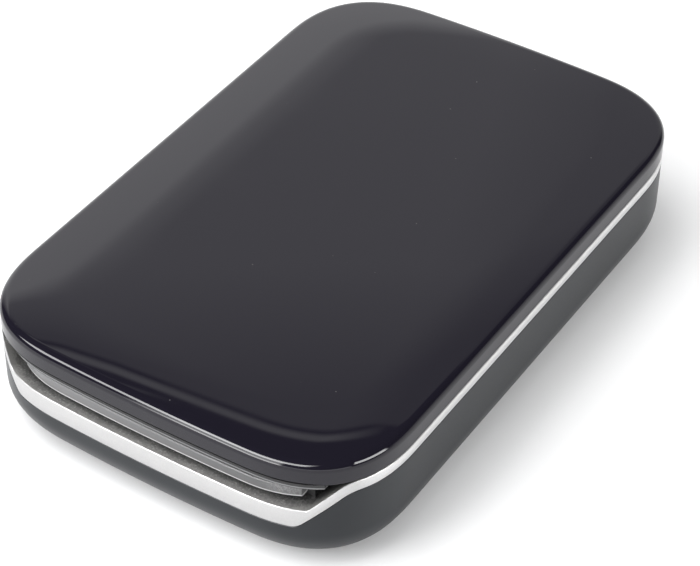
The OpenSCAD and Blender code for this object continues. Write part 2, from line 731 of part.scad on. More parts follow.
module head_ribbon() {
    y = platen_y - ribbon_w / 2;
    z = [board_top + 0.2, sink_z - 0.5];
    color("#c8862e") {
        box([ribbon_x, y, z[1]], [-head_l / 2 - slack, y + ribbon_w, z[1] + ribbon_t]);
        box([ribbon_x, y, z[0]], [ribbon_x + ribbon_t, y + ribbon_w, z[1] + ribbon_t]);
        box([ribbon_x, y, z[0]], [ribbon_x + ribbon_t, board_front + 14, z[0] + ribbon_w]);
        box([ribbon_x, board_front + 9, z[0]],
            [-boss_x - socket_size.x / 2, board_front + 12, z[0] + ribbon_t]);
    }
}
module charge_light() {
    color("#e6ece8") translate([light_pos.x, board_rear - 1, light_pos.y]) rotate([-90, 0, 0])
        cylinder(r = light_r, h = end_y(light_pos.x) - board_rear + 0.8);
}
module screw(at, z) {
    color("#9a9da1") translate([at.x, at.y, z]) {
        translate([0, 0, -3.4]) cylinder(r = pilot_r - seat_fit, h = 3.4 + eps);
        difference() {
            cylinder(r = 1.7, h = 0.9);
            translate([0, 0, 0.4]) cylinder(r = 0.7, h = 1, $fn = 6);
        }
    }
}
module chassis_screws() {
    for (s = [-1, 1], y = chassis_boss_y) screw([s * boss_x, y], paper_z);
}
module board_screws() {
    for (s = [-1, 1], y = board_boss_y) screw([s * boss_x, y], board_top);
}

lower_case();
trim_band();
chassis();
exit_bar();
battery();
battery_leads();
main_board();
processor_shield();
radio_shield();
usb_port();
power_switch();
ribbon_socket();
head_ribbon();
charge_light();
motor();
roller_bushes();
gear_posts();
gear_plate();
head_pivot();
head_springs();
sheet_sensor();
chassis_screws();
board_screws();
top_cover();
cover_frame();
plate_springs();
pressure_plate();
platen_shaft();
platen_rubber();
platen_gear();
pickup_shaft();
pickup_rubber();
pickup_gear();
idler_gear_front();
drive_gear();
idler_gear_rear();
motor_shaft();
motor_pinion();
print_head();
head_sink();
power_button();
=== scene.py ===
"""Dresses the compact photo printer: fine shells, finishes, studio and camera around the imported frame."""
from __future__ import annotations

import json
import logging
import math
from dataclasses import dataclass
from enum import Enum
from functools import cache
from typing import Callable, Optional, Sequence, Union

import bmesh
import bpy
from bpy.types import Material, Node, NodeSocket, NodeTree, Object
from mathutils import Matrix, Vector

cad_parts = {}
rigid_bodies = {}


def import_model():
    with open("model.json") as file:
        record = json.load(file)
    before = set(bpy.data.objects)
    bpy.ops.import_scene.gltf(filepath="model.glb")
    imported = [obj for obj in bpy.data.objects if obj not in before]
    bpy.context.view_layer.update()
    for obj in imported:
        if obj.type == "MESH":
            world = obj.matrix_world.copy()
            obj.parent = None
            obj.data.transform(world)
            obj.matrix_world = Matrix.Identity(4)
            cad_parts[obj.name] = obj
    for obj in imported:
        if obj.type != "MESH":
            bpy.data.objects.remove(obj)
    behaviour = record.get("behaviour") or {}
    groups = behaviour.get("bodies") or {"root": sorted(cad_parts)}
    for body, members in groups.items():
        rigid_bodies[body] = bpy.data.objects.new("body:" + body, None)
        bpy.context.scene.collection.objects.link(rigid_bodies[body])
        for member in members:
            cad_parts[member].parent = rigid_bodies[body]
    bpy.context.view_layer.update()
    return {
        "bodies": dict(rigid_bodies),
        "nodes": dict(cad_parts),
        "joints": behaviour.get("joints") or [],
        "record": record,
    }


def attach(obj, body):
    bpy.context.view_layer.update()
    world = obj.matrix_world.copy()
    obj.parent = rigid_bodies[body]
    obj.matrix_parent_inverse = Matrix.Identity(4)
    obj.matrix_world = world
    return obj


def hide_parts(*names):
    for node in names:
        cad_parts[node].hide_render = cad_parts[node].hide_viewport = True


MM = 0.001
LOG = logging.getLogger("printer")

Colour = tuple[float, float, float]
Point = tuple[float, float]
# Where a soft edge starts and where it is complete
Edge = tuple[float, float]
Value = Union["Sock", int, float]
Settings = Optional[dict[str, object]]
Inputs = Optional[dict[Union[str, int], object]]
Ring = list[Vector]
Height = Union[float, Callable[[Point], float]]


# Shader maths


def feed(tree: NodeTree, slot: NodeSocket, value: object) -> None:
    """Gives an input its link or its value.

    Args:
        tree: The node tree.
        slot: The input socket.
        value: A socket, a value, or a colour without its alpha.
    """
    if isinstance(value, Sock):
        tree.links.new(value.socket, slot)
    else:
        slot.default_value = (*value, 1.0) if slot.type == "RGBA" else value


class Sock:
    """A node output that takes part in Python expressions by adding Math nodes."""

    def __init__(self, tree: NodeTree, socket: NodeSocket) -> None:
        """Keeps an output socket and the tree that owns it."""
        self.tree = tree
        self.socket = socket

    def _math(self, operation: str, *values: Value, clamp: bool = False) -> Sock:
        """Adds one Math node.

        Args:
            operation: Name of the Math operation.
            values: Inputs in order, as sockets or numbers.
            clamp: Whether the result is held between 0 and 1.

        Returns:
            The node's output.
        """
        node = self.tree.nodes.new("ShaderNodeMath")
        node.operation = operation
        node.use_clamp = clamp
        for slot, value in zip(node.inputs, values):
            feed(self.tree, slot, value)
        return Sock(self.tree, node.outputs[0])

    def __add__(self, other: Value) -> Sock:
        """Sum."""
        return self._math("ADD", self, other)

    __radd__ = __add__

    def __sub__(self, other: Value) -> Sock:
        """Difference."""
        return self._math("SUBTRACT", self, other)

    def __rsub__(self, other: float) -> Sock:
        """Difference with the number on the left."""
        return self._math("SUBTRACT", other, self)

    def __mul__(self, other: Value) -> Sock:
        """Product."""
        return self._math("MULTIPLY", self, other)

    __rmul__ = __mul__

    def __truediv__(self, other: Value) -> Sock:
        """Quotient."""
        return self._math("DIVIDE", self, other)

    def __pow__(self, other: Value) -> Sock:
        """Power."""
        return self._math("POWER", self, other)

    def __abs__(self) -> Sock:
        """Value without its sign."""
        return self._math("ABSOLUTE", self)

    def clamped(self) -> Sock:
        """The value held between 0 and 1."""
        return self._math("ADD", self, 0.0, clamp=True)

    def above(self, edge: float) -> Sock:
        """1 where the value is greater than edge, else 0."""
        return self._math("GREATER_THAN", self, edge)

    def ramp(self, low: float, high: float) -> Sock:
        """The value mapped so that low gives 0 and high gives 1, held between them."""
        return ((self - low) / (high - low)).clamped()

    def fall(self, low: float, high: float) -> Sock:
        """The value mapped so that low gives 1 and high gives 0, held between them."""
        return 1 - self.ramp(low, high)

    def band(self, rise: Edge, fall: Edge) -> Sock:
        """1 between two soft edges and 0 beyond them."""
        return self.ramp(*rise) * self.fall(*fall)


class Nodes:
    """A node tree, with one method that adds any node."""

    def __init__(self, tree: NodeTree) -> None:
        """Takes a tree over and empties it."""
        self.tree = tree
        self.tree.nodes.clear()

    def add(self, kind: str, settings: Settings = None, inputs: Inputs = None) -> Node:
        """Adds any node.

        Args:
            kind: The node's type, without the ShaderNode prefix.
            settings: Properties that are set before the inputs.
            inputs: Values or links for the input sockets, by name or index.

        Returns:
            The node.
        """
        node = self.tree.nodes.new("ShaderNode" + kind)
        for key, value in (settings or {}).items():
            setattr(node, key, value)
        for key, value in (inputs or {}).items():
            feed(self.tree, node.inputs[key], value)
        return node

    def node(
        self, kind: str, settings: Settings = None, inputs: Inputs = None, output: Union[str, int] = 0
    ) -> Sock:
        """Adds any node and gives one of its outputs."""
        return Sock(self.tree, self.add(kind, settings, inputs).outputs[output])

    def axes(self, vector: Sock) -> list[Sock]:
        """The x, y and z of a vector."""
        return [Sock(self.tree, out) for out in self.add("SeparateXYZ", None, {0: vector}).outputs]


class Shader(Nodes):
    """One material's node tree."""

    def __init__(self, name: str) -> None:
        """Starts an empty material.

        Args:
            name: The material's name.
        """
        self.material = bpy.data.materials.new(name)
        self.material.use_nodes = True
        super().__init__(self.material.node_tree)

    def place(self) -> Sock:
        """Object coordinates, in metres."""
        return self.node("TexCoord", output="Object")

    def noise(
        self, size: float, detail: float = 2.0, stretch: Sequence[float] = (1, 1, 1), rough: float = 0.5
    ) -> Sock:
        """Noise whose features are about size across.

        Args:
            size: Feature size in metres.
            detail: Octaves.
            stretch: Multipliers of the frequency by axis.
            rough: Roughness of the octaves.

        Returns:
            A value from 0 to 1.
        """
        vector = self.node("VectorMath", {"operation": "MULTIPLY"}, {0: self.place(), 1: stretch})
        inputs = {"Vector": vector, "Scale": 1 / size, "Detail": detail, "Roughness": rough}
        return self.node("TexNoise", None, inputs)

    def cells(self, size: float, output: str = "Distance", randomness: float = 1.0) -> Sock:
        """Cells around scattered points.

        Args:
            size: Spacing of the points in metres.
            output: "Distance" from the point, or the cell's "Color".
            randomness: How far the points stray from a grid.

        Returns:
            The chosen output.
        """
        inputs = {"Vector": self.place(), "Scale": 1 / size, "Randomness": randomness}
        return self.node("TexVoronoi", {"feature": "F1"}, inputs, output)

    def flakes(self, size: float) -> Sock:
        """A chance value from 0 to 1 for each flake of a size."""
        return self.node("SeparateColor", None, {"Color": self.cells(size, "Color")})

    def blend(self, factor: Value, first: object, second: object) -> Sock:
        """Mixes two colours, where 0 gives the first and 1 the second."""
        return self.node("Mix", {"data_type": "RGBA"}, {"Factor": factor, 6: first, 7: second}, 2)

    def bump(self, height: Sock, depth: float, strength: float) -> Sock:
        """A normal bumped by a height, where 1 stands for a depth in metres."""
        return self.node("Bump", None, {"Height": height, "Distance": depth, "Strength": strength})

    def finish(self, **sockets: object) -> None:
        """Ends the material with a Principled surface.

        Args:
            sockets: Values or links by socket name, with underscores for spaces.
        """
        values = {key.replace("_", " "): value for key, value in sockets.items()}
        self.add("OutputMaterial", None, {"Surface": self.node("BsdfPrincipled", None, values)})


# Finishes


def toned(colour: Colour, gain: float, lift: float = 0.0) -> Colour:
    """A colour made darker or lighter by a gain and a lift."""
    return tuple(min(1.0, c * gain + lift) for c in colour)


@dataclass(frozen=True)
class GlossLacquer:
    """Deep gloss moulded plastic with a faint handling haze and a few specks of dust.

    The lowest rim of the front end is painted black with no shine, a painted shadow line standing in for the
    shaded gap under the cover.
    """

    colour: Colour
    roughness: float = 0.02
    haze: float = 0.03
    speck_pitch: float = 0.0055
    speck: Edge = (0.018, 0.03)
    dust: Colour = (0.16, 0.155, 0.15)
    # Height band and front reach of the painted shadow line on the lowest rim
    rim: Edge = (0.01909, 0.01912)
    front: Edge = (-0.0525, -0.051)
    front_slant: float = 0.1

    def paint(self, sh: Shader) -> None:
        """Adds the nodes of the finish.

        Args:
            sh: The material's shader.
        """
        x, y, z = sh.axes(sh.place())
        haze = sh.noise(0.018, 3.0).ramp(0.45, 0.75) * self.haze
        fine = sh.noise(0.0011)
        dust = sh.cells(self.speck_pitch).fall(*self.speck)
        # Painted shadow: black, without shine, along the lowest rim of the front end
        rim = z.fall(*self.rim) * (y + x * self.front_slant).fall(*self.front)
        dusty = sh.blend(dust * 0.35, self.colour, self.dust)
        sh.finish(
            Base_Color=sh.blend(rim, dusty, (0.0, 0.0, 0.0)),
            Roughness=self.roughness + haze + fine * 0.012 + dust * 0.3 + rim * 0.4,
            Metallic=rim,
            Normal=sh.bump(sh.noise(0.03, 1.0), 0.000025, 0.25),
            IOR=1.43,
        )


@dataclass(frozen=True)
class MouldedPlastic:
    """Satin or matt moulded plastic with a fine spark-eroded texture."""

    colour: Colour
    roughness: float = 0.42
    grain: float = 0.00022
    depth: float = 0.000006
    shift: float = 0.18
    sheen: float = 0.5

    def paint(self, sh: Shader) -> None:
        """Adds the nodes of the finish.

        Args:
            sh: The material's shader.
        """
        grain = sh.noise(self.grain)
        broad = sh.noise(0.014, 3.0)
        lighter = toned(self.colour, 1 + self.shift, 0.002)
        sh.finish(
            Base_Color=sh.blend(broad.ramp(0.35, 0.7), self.colour, lighter),
            Roughness=self.roughness + (broad - 0.5) * 0.08 + (grain - 0.5) * 0.1,
            Normal=sh.bump(grain, self.depth, 0.7),
            IOR=1.5,
            Specular_IOR_Level=self.sheen,
        )


@dataclass(frozen=True)
class LippedPlastic:
    """Matt black plastic whose front lip has a polished lower edge, also painted paler as a painted
    highlight.
    """

    colour: Colour
    # edge is the paler colour of the painted highlight on the lip's lower edge
    edge: Colour
    front_y: float = -0.049
    half: float = 0.0312
    edge_low: float = 0.0171
    edge_high: float = 0.01735

    def paint(self, sh: Shader) -> None:
        """Adds the nodes of the finish.

        Args:
            sh: The material's shader.
        """
        x, y, z = sh.axes(sh.place())
        grain = sh.noise(0.0003)
        front = (1 - y.above(self.front_y)) * (1 - abs(x).above(self.half))
        # Painted highlight: the lower edge of the front lip in the paler colour
        lip = z.above(self.edge_low) * (1 - z.above(self.edge_high)) * front
        sh.finish(
            Base_Color=sh.blend(lip, self.colour, self.edge),
            Roughness=0.5 - lip * 0.2 + (grain - 0.5) * 0.1,
            Normal=sh.bump(grain, 0.00001, 0.7),
            IOR=1.5,
        )


@dataclass(frozen=True)
class LedgePaint:
    """Coarse silver flake paint with painted shade that darkens it towards the paper slot and painted light
    that lifts it at the ramps.
    """

    # light is the lit silver, dark is the painted shade near the slot
    light: Colour
    dark: Colour
    flake: float = 0.00026
    front_y: float = -0.058
    bow: float = 1.0667
    corner_x: float = 0.0175
    corner_r: float = 0.02
    corner_power: float = 2.65
    corner_depth: float = 0.0088
    # Inset over which the painted light gives way to painted shade, and where painted light lifts it again at
    # the ramps
    painted_light: Edge = (0.0, 0.0032)
    ramps: Edge = (0.026, 0.031)

    def paint(self, sh: Shader) -> None:
        """Adds the nodes of the finish.

        Args:
            sh: The material's shader.
        """
        x, y, _ = sh.axes(sh.place())
        corner = ((abs(x) - self.corner_x) / self.corner_r).clamped() ** self.corner_power * self.corner_depth
        inset = y - self.front_y - x * x * self.bow - corner
        # Painted shade: 1 at the ledge's outer edge falling to 0 towards the slot, plus painted light at the
        # ramps
        painted_light = inset.fall(*self.painted_light) ** 1.3 + abs(x).ramp(*self.ramps) * 0.5
        flake = sh.flakes(self.flake)
        # The brightest flakes show only where the painted light is
        mask = painted_light * 0.95 + (flake - 0.5) * 0.35 + flake.ramp(0.86, 0.96) * painted_light * 0.5
        sh.finish(
            Base_Color=sh.blend(mask.clamped(), self.dark, self.light),
            Metallic=0.3,
            Roughness=0.45 + (flake - 0.5) * 0.2,
            Normal=sh.bump(flake, 0.00003, 0.6),
        )


@dataclass(frozen=True)
class BarPlastic:
    """Grey bar plastic with a painted highlight along its lower edge, painted flecked highlights near its
    ends and painted shade towards its right end.
    """

    colour: Colour
    # bright is the colour of the painted highlights
    bright: Colour
    edge: Edge = (0.01417, 0.01425)
    ends: Edge = (0.0205, 0.0235)
    fleck: float = 0.00025
    # Across which the painted shade darkens the bar, and its gain at the right end
    shaded: Edge = (-0.02, 0.02)
    shade: float = 0.62

    def paint(self, sh: Shader) -> None:
        """Adds the nodes of the finish.

        Args:
            sh: The material's shader.
        """
        x, _, z = sh.axes(sh.place())
        fleck = sh.noise(self.fleck)
        # Painted highlights: along the lower edge, and in flecks near the ends
        mask = z.fall(*self.edge) + abs(x).ramp(*self.ends) * fleck.ramp(0.3, 0.7) * 0.25
        # Painted shade: the grey darker towards +x
        grey = sh.blend(x.ramp(*self.shaded), self.colour, toned(self.colour, self.shade))
        sh.finish(
            Base_Color=sh.blend(mask.clamped(), grey, self.bright),
            Roughness=0.3 + (fleck - 0.5) * 0.1,
            Normal=sh.bump(fleck, 0.000003, 0.5),
            IOR=1.5,
        )


@dataclass(frozen=True)
class MetallicPaint:
    """Silver paint whose flakes differ a little in brightness and tilt, with painted light that makes the
    flanks brighter.
    """

    colour: Colour
    dark: Colour
    roughness: float = 0.34
    metallic: float = 0.75
    flake: float = 0.00012
    sparkle: float = 0.25
    tilt: float = 0.000004
    # Where the flanks start, and the gain of the painted light on them
    flank: Edge = (0.0345, 0.0365)
    painted_light_gain: float = 1.36

    def paint(self, sh: Shader) -> None:
        """Adds the nodes of the finish.

        Args:
            sh: The material's shader.
        """
        x, _, _ = sh.axes(sh.place())
        flake = sh.flakes(self.flake)
        mask = (flake.ramp(0.2, 1.0) * self.sparkle + sh.noise(0.006) * 0.12).clamped()
        front = sh.blend(mask, self.colour, self.dark)
        # Painted light: the flanks painted brighter than the front
        side = sh.blend(mask, toned(self.colour, self.painted_light_gain), self.colour)
        sh.finish(
            Base_Color=sh.blend(abs(x).ramp(*self.flank), front, side),
            Metallic=self.metallic,
            Roughness=self.roughness + (flake - 0.5) * 0.12,
            Normal=sh.bump(flake, self.tilt, 0.6),
        )


@dataclass(frozen=True)
class Metal:
    """Bare metal with a brushed grain along one axis."""

    colour: Colour
    roughness: float = 0.3
    stretch: tuple[float, float, float] = (0.05, 1.0, 1.0)
    grain: float = 0.0002

    def paint(self, sh: Shader) -> None:
        """Adds the nodes of the finish.

        Args:
            sh: The material's shader.
        """
        lines = sh.noise(self.grain, 3.0, self.stretch)
        stain = sh.noise(0.007, 3.0).ramp(0.4, 0.75)
        sh.finish(
            Base_Color=sh.blend(stain * 0.5 + lines * 0.25, self.colour, toned(self.colour, 0.72)),
            Metallic=1.0,
            Roughness=self.roughness + (lines - 0.5) * 0.18,
            Normal=sh.bump(lines, 0.000003, 0.6),
        )


@dataclass(frozen=True)
class Rubber:
    """Ground roller rubber with a fine circumferential lay and a trace of paper dust."""

    colour: Colour = (0.022, 0.022, 0.023)
    dust: Colour = (0.12, 0.12, 0.115)

    def paint(self, sh: Shader) -> None:
        """Adds the nodes of the finish.

        Args:
            sh: The material's shader.
        """
        lay = sh.noise(0.0003, 2.0, (1.0, 0.2, 0.2))
        dust = sh.noise(0.004, 4.0).ramp(0.5, 0.8)
        sh.finish(
            Base_Color=sh.blend(dust * 0.3, self.colour, self.dust),
            Roughness=0.62 + dust * 0.2,
            Normal=sh.bump(lay, 0.000012, 0.8),
        )


@dataclass(frozen=True)
class CircuitBoard:
    """Solder mask over copper tracks, with tinned pads."""

    mask: Colour = (0.012, 0.075, 0.03)
    track: Colour = (0.025, 0.14, 0.05)
    tin: Colour = (0.72, 0.7, 0.62)
    lane_scale: float = 420.0
    pad_pitch: float = 1 / 330

    def paint(self, sh: Shader) -> None:
        """Adds the nodes of the finish.

        Args:
            sh: The material's shader.
        """
        bricks = {"Mortar Size": 0.09, "Brick Width": 1.7, "Row Height": 0.35, "Scale": self.lane_scale}
        lanes = sh.node("TexBrick", {"offset": 0.4}, {"Vector": sh.place(), **bricks}, "Fac")
        pad = sh.cells(self.pad_pitch, randomness=0.35).fall(0.16, 0.2)
        sh.finish(
            Base_Color=sh.blend(pad, sh.blend(lanes, self.mask, self.track), self.tin),
            Metallic=pad * 0.9,
            Roughness=0.38 - pad * 0.1,
            Normal=sh.bump(lanes, 0.00002, 0.5),
        )


@dataclass(frozen=True)
class Foil:
    """Laminated battery pouch: dull aluminium with soft wrinkles."""

    colour: Colour = (0.55, 0.56, 0.58)

    def paint(self, sh: Shader) -> None:
        """Adds the nodes of the finish.

        Args:
            sh: The material's shader.
        """
        wrinkle = sh.noise(0.006, 4.0, (1.0, 0.5, 1.0), 0.6)
        sh.finish(
            Base_Color=sh.blend(wrinkle.ramp(0.3, 0.7), self.colour, toned(self.colour, 0.8)),
            Metallic=0.8,
            Roughness=0.34 + wrinkle * 0.15,
            Normal=sh.bump(wrinkle, 0.0002, 0.4),
        )


@dataclass(frozen=True)
class ClearPlastic:
    """Translucent moulded light pipe."""

    colour: Colour = (0.75, 0.8, 0.78)

    def paint(self, sh: Shader) -> None:
        """Adds the nodes of the finish.

        Args:
            sh: The material's shader.
        """
        cloud = sh.noise(0.0012)
        sh.finish(
            Base_Color=sh.blend(cloud, self.colour, toned(self.colour, 0.85)),
            Roughness=0.16 + cloud * 0.1,
            Transmission_Weight=0.4,
            IOR=1.49,
        )


class Finish(Enum):
    """The finishes of the printer, by the names of their materials in capitals."""

    GLOSS_BLACK = GlossLacquer((0.0095, 0.0084, 0.0142))
    SATIN_BLACK = MouldedPlastic((0.0145, 0.0165, 0.0195), roughness=0.33, sheen=0.27)
    SATIN_SILVER = MetallicPaint((0.565, 0.561, 0.561), (0.475, 0.471, 0.471), sparkle=0.35, metallic=0.55)
    # Lit silver, and the painted shade towards the slot
    LEDGE_SILVER = LedgePaint((0.26, 0.256, 0.248), (0.035, 0.035, 0.036))
    # The second colour is the painted highlights
    EXIT_GREY = BarPlastic((0.19, 0.19, 0.194), (0.66, 0.66, 0.66))
    # The second colour is the painted highlight on the lip's lower edge
    LIP_BLACK = LippedPlastic((0.02, 0.02, 0.021), (0.19, 0.19, 0.194))
    FRAME_BLACK = MouldedPlastic((0.02, 0.02, 0.021), roughness=0.5, depth=0.000012)
    STEEL = Metal((0.56, 0.57, 0.58), roughness=0.28)
    TIN = Metal((0.66, 0.66, 0.64), roughness=0.32, grain=0.0004)
    ALUMINIUM = Metal((0.70, 0.71, 0.73), roughness=0.33)
    BRONZE = Metal((0.60, 0.40, 0.18), roughness=0.36, stretch=(1, 1, 1))
    PINION_BRASS = Metal((0.68, 0.50, 0.22), roughness=0.25)
    ROLLER_RUBBER = Rubber()
    GEAR_NYLON = MouldedPlastic((0.68, 0.65, 0.56), roughness=0.4, shift=0.06)
    CERAMIC = MouldedPlastic((0.72, 0.70, 0.64), roughness=0.15, depth=0.000001, shift=0.05)
    BOARD_GREEN = CircuitBoard()
    BATTERY_WRAP = Foil()
    LEAD_RED = MouldedPlastic((0.42, 0.02, 0.015), roughness=0.35, shift=0.1)
    SOCKET_CREAM = MouldedPlastic((0.60, 0.56, 0.44), roughness=0.5, shift=0.06)
    RIBBON_AMBER = GlossLacquer((0.40, 0.17, 0.03), roughness=0.15)
    CLEAR_PIPE = ClearPlastic()

    @cache
    def material(self) -> Material:
        """Makes the material of the finish on first use.

        Returns:
            The material.
        """
        sh = Shader(self.name.lower())
        self.value.paint(sh)
        return sh.material


# Shapes


def rounded_rise(value: float, radius: float) -> float:
    """A ramp from 0 with a rounded foot.

    Args:
        value: Distance past the foot.
        radius: Half-width of the rounding.

    Returns:
        0 well before the foot and value well after it.
    """
    if value <= -radius:
        return 0.0
    if value >= radius:
        return value
    return (value + radius) ** 2 / (4 * radius)


def arc(centre: Point, radius: float, start: float, turn: float, steps: int) -> list[Point]:
    """Points along an arc, with both its ends.

    Args:
        centre: Its centre.
        radius: Its radius.
        start: Angle of the first point, in degrees.
        turn: Angle that it covers, in degrees.
        steps: How many equal parts it has.

    Returns:
        The points.
    """
    angles = [math.radians(start + turn * k / steps) for k in range(steps + 1)]
    return [(centre[0] + radius * math.cos(a), centre[1] + radius * math.sin(a)) for a in angles]


def rounded_box(u: Edge, v: Edge, radius: float) -> list[Point]:
    """Outline of a rectangle with rounded corners.

    Args:
        u: Its left and right.
        v: Its bottom and top.
        radius: Radius of its corners.

    Returns:
        The points, counter-clockwise.
    """
    left, right, bottom, top = u[0] + radius, u[1] - radius, v[0] + radius, v[1] - radius
    corners = ((right, top), (left, top), (left, bottom), (right, bottom))
    return [point for k, centre in enumerate(corners) for point in arc(centre, radius, 90 * k, 90, 4)]


@dataclass(frozen=True)
class Plan:
    """Outline of the housing seen from above, in millimetres."""

    half_w: float = 37.5
    half_l: float = 58.0
    corner_r: float = 20.0
    power: float = 2.65
    bow: float = 1.5
    corner_steps: int = 72
    side_steps: int = 26
    spread: float = 0.05

    def bowed(self, x: float, y: float, inset: float) -> Point:
        """A point after the ends have been bowed.

        Args:
            x: Place across.
            y: Place along.
            inset: How far the outline is moved in.

        Returns:
            The point.
        """
        sign = 1.0 if y > 0 else -1.0
        reach = self.bow * (x / (self.half_w - inset)) ** 2 * abs(y) / (self.half_l - inset)
        return x, y - sign * reach

    def quarter(self, inset: float) -> list[Point]:
        """Points from the middle of the right side to the middle of the rear end.

        Args:
            inset: How far the outline is moved in.

        Returns:
            The points of one quarter, counter-clockwise.
        """
        r = self.corner_r - inset
        cx, cy = self.half_w - self.corner_r, self.half_l - self.corner_r
        points = [(self.half_w - inset, cy * k / self.side_steps) for k in range(self.side_steps)]
        for k in range(self.corner_steps + 1):
            t = k / self.corner_steps
            angle = math.pi / 2 * (t - self.spread * math.sin(2 * math.pi * t))
            c, s = max(0.0, math.cos(angle)), max(0.0, math.sin(angle))
            points.append((cx + r * c ** (2 / self.power), cy + r * s ** (2 / self.power)))
        rear = [cx * (1 - k / self.side_steps) for k in range(1, self.side_steps + 1)]
        return points + [(x, self.half_l - inset) for x in rear]

    def outline(self, inset: float) -> list[Point]:
        """The whole outline, counter-clockwise from the middle of the right side.

        Args:
            inset: How far the outline is moved in.

        Returns:
            The points.
        """
        quarter = self.quarter(inset)
        loop = (
            quarter
            + [(-x, y) for x, y in reversed(quarter[:-1])]
            + [(-x, -y) for x, y in quarter[1:]]
            + [(x, -y) for x, y in reversed(quarter[1:-1])]
        )
        return [self.bowed(x, y, inset) for x, y in loop]

    def ring(self, inset: float, height: Height) -> Ring:
        """The outline lifted to a height.

        Args:
            inset: How far the outline is moved in.
            height: One height, or a function of the point.

        Returns:
            The points in space.
        """
        points = self.outline(inset)
        if callable(height):
            return [Vector((x, y, height((x, y)))) for x, y in points]
        return [Vector((x, y, height)) for x, y in points]

    def end_y(self, across: float, inset: float) -> float:
        """Half-length of the outline at a distance from the centre line.

        Args:
            across: Distance from the centre line.
            inset: How far the outline is moved in.

        Returns:
            The half-length there.
        """
        r = self.corner_r - inset
        t = max(0.0, abs(across) - self.half_w + self.corner_r) / r
        corner = r * max(0.0, 1 - t**self.power) ** (1 / self.power)
        return self.half_l - self.corner_r + corner - self.bow * (across / (self.half_w - inset)) ** 2


@dataclass(frozen=True)
class BandEdges:
    """Heights of the bright band's edges along the outline, in millimetres."""

    top: float = 18.5
    bottom: float = 16.5
    chin_top: float = 13.0
    chin_low: float = 9.2
    chin_half: float = 28.7
    run: float = 4.9
    low_shift: float = 1.5
    low_run: float = 6.8
    rounding: float = 0.9
    top_foot: float = 0.1

    def _dip(self, point: Point, start: float, run: float, foot: float) -> float:
        """How far the band has dipped at a point.

        Args:
            point: Place on the outline.
            start: Half-width of the level part.
            run: Length of the slant.
            foot: Rounding at its foot.

        Returns:
            1 in the chin and 0 along the sides.
        """
        if point[1] >= 0:
            return 0.0
        u = abs(point[0])
        rise = rounded_rise(u - start, foot) - rounded_rise(u - start - run, self.rounding)
        return 1 - rise / run

    def high(self, point: Point) -> float:
        """Upper edge at a point of the outline."""
        dip = self._dip(point, self.chin_half, self.run, self.top_foot)
        return self.top - (self.top - self.chin_top) * dip

    def low(self, point: Point) -> float:
        """Lower edge at a point of the outline."""
        dip = self._dip(point, self.chin_half - self.low_shift, self.low_run, self.rounding)
        return self.bottom - (self.bottom - self.chin_low) * dip


def mesh_object(name: str, verts: Sequence[Vector], faces: Sequence[Sequence[int]]) -> Object:
    """Links a mesh object.

    Args:
        name: Its name.
        verts: Vertices in millimetres.
        faces: Vertex indices of each face.

    Returns:
        The object.
    """
    mesh = bpy.data.meshes.new(name)
    mesh.from_pydata([tuple(c * MM for c in v) for v in verts], [], [tuple(f) for f in faces])
    mesh.validate()
    mesh.update()
    obj = bpy.data.objects.new(name, mesh)
    bpy.context.scene.collection.objects.link(obj)
    return obj


def skin(count: int, around: int, start: int = 0, closed: bool = False) -> list[Sequence[int]]:
    """Quads between rings whose vertices follow one another.

    Args:
        count: How many rings there are.
        around: How many points each has.
        start: Index of the first vertex.
        closed: Whether the last ring joins the first.

    Returns:
        Vertex indices of each quad, ring by ring.
    """
    faces: list[Sequence[int]] = []
    for k in range(count if closed else count - 1):
        low, high = start + k * around, start + (k + 1) % count * around
        turns = [(i, (i + 1) % around) for i in range(around)]
        faces += [(low + i, low + j, high + j, high + i) for i, j in turns]
    return faces


def loft(name: str, rings: Sequence[Ring], closed: bool = False) -> Object:
    """Skins a list of rings and turns its faces outward.

    Args:
        name: The object's name.
        rings: Rings with equal numbers of points.
        closed: Whether the last ring joins the first, instead of both being filled.

    Returns:
        The object.
    """
    around, count = len(rings[0]), len(rings)
    faces = skin(count, around, closed=closed)
    if not closed:
        faces.append(tuple(range(around - 1, -1, -1)))
        faces.append(tuple((count - 1) * around + i for i in range(around)))
    obj = mesh_object(name, [v for ring in rings for v in ring], faces)
    bm = bmesh.new()
    bm.from_mesh(obj.data)
    bmesh.ops.recalc_face_normals(bm, faces=bm.faces)
    bm.to_mesh(obj.data)
    bm.free()
    return obj


def cut(obj: Object, tool: Object) -> None:
    """Cuts one closed mesh out of another and deletes the cutter.

    Args:
        obj: The object that is cut.
        tool: The cutter.
    """
    modifier = obj.modifiers.new("cut", "BOOLEAN")
    modifier.operation = "DIFFERENCE"
    modifier.object = tool
    modifier.solver = "EXACT"
    graph = bpy.context.evaluated_depsgraph_get()
    mesh = bpy.data.meshes.new_from_object(obj.evaluated_get(graph))
    obj.modifiers.clear()
    obj.data = mesh
    bpy.data.objects.remove(tool)


def auto_smooth(obj: Object, angle: float) -> None:
    """Shades smooth, with sharp edges where faces meet at more than an angle.

    Args:
        obj: The object.
        angle: The angle in degrees.
    """
    bm = bmesh.new()
    bm.from_mesh(obj.data)
    limit = math.radians(angle)
    for edge in bm.edges:
        edge.smooth = len(edge.link_faces) == 2 and edge.calc_face_angle(0.0) < limit
    for face in bm.faces:
        face.smooth = True
    bm.to_mesh(obj.data)
    bm.free()


# Sub-assemblies


